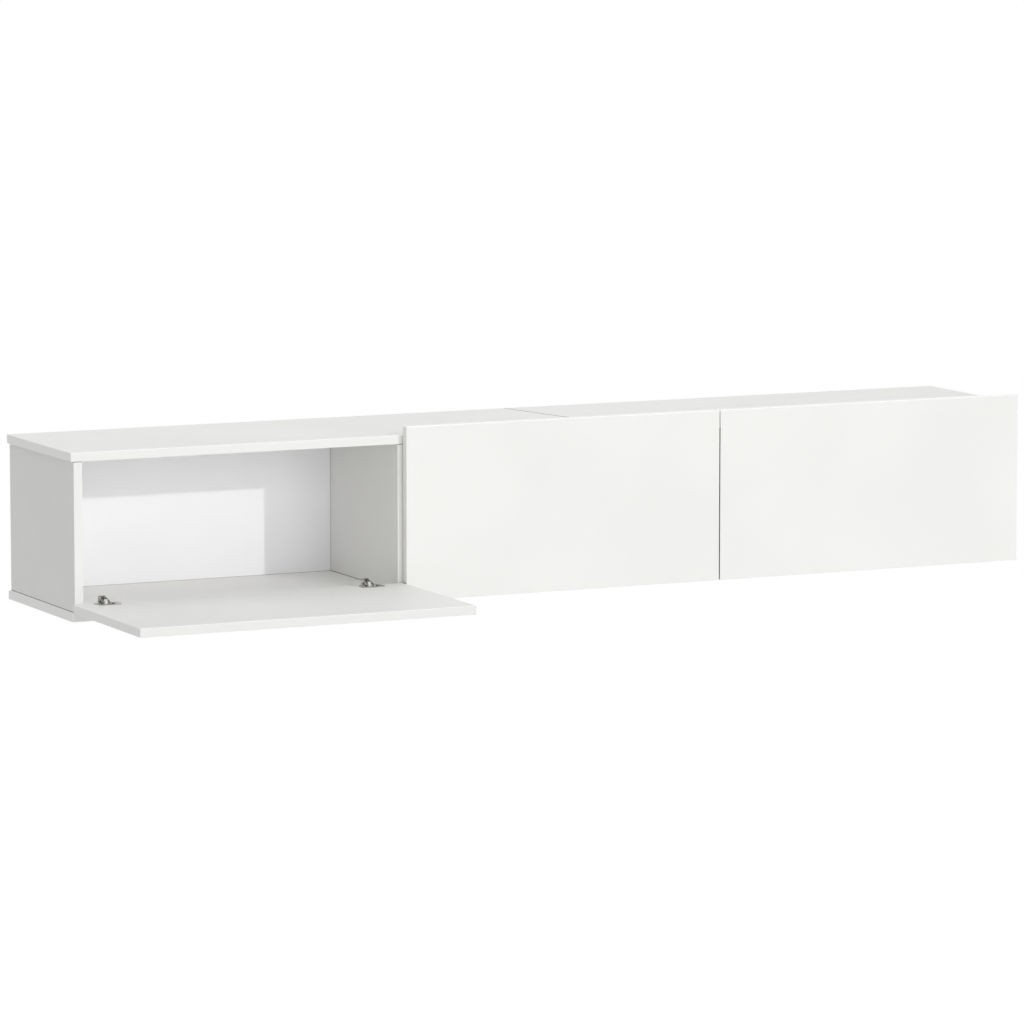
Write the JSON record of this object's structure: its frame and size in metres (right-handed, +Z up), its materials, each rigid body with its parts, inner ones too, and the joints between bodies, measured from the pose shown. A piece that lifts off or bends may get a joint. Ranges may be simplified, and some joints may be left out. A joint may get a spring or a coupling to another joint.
{
  "type": "floating media console",
  "caption": "Long low wall-hung media console with compartments behind drop-down flaps on concealed link hinges.",
  "frame": {"origin": "middle of the width on the wall plane, at the height of the wall eyes", "axes": "+X to the right seen from the front, +Y to the wall, +Z up"},
  "size_m": [1.8, 0.6, 0.298],
  "materials": {
    "white_laminate": "white laminated chipboard",
    "hardboard": "white-faced hardboard, brown behind",
    "beech": "fluted beech dowel",
    "zinc_plate": "bright zinc plate",
    "nickel_plate": "nickel-plated steel",
    "die_cast_zinc": "die-cast zinc",
    "spring_steel": "oiled spring steel"
  },
  "bodies": {
    "carcass": {"top_panel_left": "white_laminate", "top_panel_right": "white_laminate", "bottom_panel": "white_laminate", "side_panel_left": "white_laminate", "side_panel_right": "white_laminate", "divider_left": "white_laminate", "divider_right": "white_laminate", "back_panel_left": "hardboard", "back_panel_middle": "hardboard", "back_panel_right": "hardboard", "cam_housings": "die_cast_zinc", "cam_bolts": "zinc_plate", "confirmat_screws": "zinc_plate", "carcass_dowels": "beech", "top_joint_dowels": "beech", "top_joint_plates": "zinc_plate", "top_joint_screws": "zinc_plate", "wall_hangers": "zinc_plate", "wall_hanger_screws": "zinc_plate", "hinge_mounting_plates": "die_cast_zinc", "hinge_arms": "nickel_plate", "hinge_arm_pins": "nickel_plate", "hinge_springs": "spring_steel", "hinge_fixing_screws": "zinc_plate", "hinge_adjusting_screws": "zinc_plate", "hinge_plate_screws": "zinc_plate"},
    "left_flap": {"flap_left": "white_laminate", "hinge_cups_left": "nickel_plate", "hinge_cup_pins_left": "nickel_plate", "hinge_cup_screws_left": "zinc_plate"},
    "left_outer_links": {"outer_links_left": "nickel_plate", "outer_link_pins_left": "nickel_plate"},
    "left_inner_links": {"inner_links_left": "nickel_plate"},
    "middle_flap": {"flap_middle": "white_laminate", "hinge_cups_middle": "nickel_plate", "hinge_cup_pins_middle": "nickel_plate", "hinge_cup_screws_middle": "zinc_plate"},
    "middle_outer_links": {"outer_links_middle": "nickel_plate", "outer_link_pins_middle": "nickel_plate"},
    "middle_inner_links": {"inner_links_middle": "nickel_plate"},
    "right_flap": {"flap_right": "white_laminate", "hinge_cups_right": "nickel_plate", "hinge_cup_pins_right": "nickel_plate", "hinge_cup_screws_right": "zinc_plate"},
    "right_outer_links": {"outer_links_right": "nickel_plate", "outer_link_pins_right": "nickel_plate"},
    "right_inner_links": {"inner_links_right": "nickel_plate"}
  },
  "joints": [
    {"name": "left_outer_link_swing", "type": "hinge", "parent": "carcass", "child": "left_outer_links", "pos_m": [-0.6, -0.29345, -0.20055], "axis": [1, 0, 0], "range_deg": [0, 49.03]},
    {"name": "left_flap_turn", "type": "hinge", "parent": "left_inner_links", "child": "left_flap", "pos_m": [-0.6, -0.3118, -0.2109], "axis": [1, 0, 0], "range_deg": [-135.94, 0], "stiffness_Nm_per_rad": 0.1, "springref_deg": -170.34},
    {"name": "left_inner_link_swing", "type": "hinge", "parent": "carcass", "child": "left_inner_links", "pos_m": [-0.6, -0.28878, -0.21175], "axis": [1, 0, 0], "range_deg": [0, 45.94]},
    {"name": "middle_outer_link_swing", "type": "hinge", "parent": "carcass", "child": "middle_outer_links", "pos_m": [0, -0.29345, -0.20055], "axis": [1, 0, 0], "range_deg": [-49.03, 0]},
    {"name": "middle_flap_turn", "type": "hinge", "parent": "middle_inner_links", "child": "middle_flap", "pos_m": [0, -0.3054, -0.2277], "axis": [1, 0, 0], "range_deg": [0, 135.94], "stiffness_Nm_per_rad": 0.1, "springref_deg": -34.4},
    {"name": "middle_inner_link_swing", "type": "hinge", "parent": "carcass", "child": "middle_inner_links", "pos_m": [0, -0.28878, -0.21175], "axis": [1, 0, 0], "range_deg": [-45.94, 0]},
    {"name": "right_outer_link_swing", "type": "hinge", "parent": "carcass", "child": "right_outer_links", "pos_m": [0.6, -0.29345, -0.20055], "axis": [1, 0, 0], "range_deg": [-49.03, 0]},
    {"name": "right_flap_turn", "type": "hinge", "parent": "right_inner_links", "child": "right_flap", "pos_m": [0.6, -0.3054, -0.2277], "axis": [1, 0, 0], "range_deg": [0, 135.94], "stiffness_Nm_per_rad": 0.1, "springref_deg": -34.4},
    {"name": "right_inner_link_swing", "type": "hinge", "parent": "carcass", "child": "right_inner_links", "pos_m": [0.6, -0.28878, -0.21175], "axis": [1, 0, 0], "range_deg": [-45.94, 0]}
  ],
  "couplings": [
    {"joint": "left_outer_link_swing", "follows": "left_flap_turn", "ratio": -0.36069},
    {"joint": "left_inner_link_swing", "follows": "left_flap_turn", "ratio": -0.33794},
    {"joint": "middle_outer_link_swing", "follows": "middle_flap_turn", "ratio": -0.36069},
    {"joint": "middle_inner_link_swing", "follows": "middle_flap_turn", "ratio": -0.33794},
    {"joint": "right_outer_link_swing", "follows": "right_flap_turn", "ratio": -0.36069},
    {"joint": "right_inner_link_swing", "follows": "right_flap_turn", "ratio": -0.33794}
  ]
}
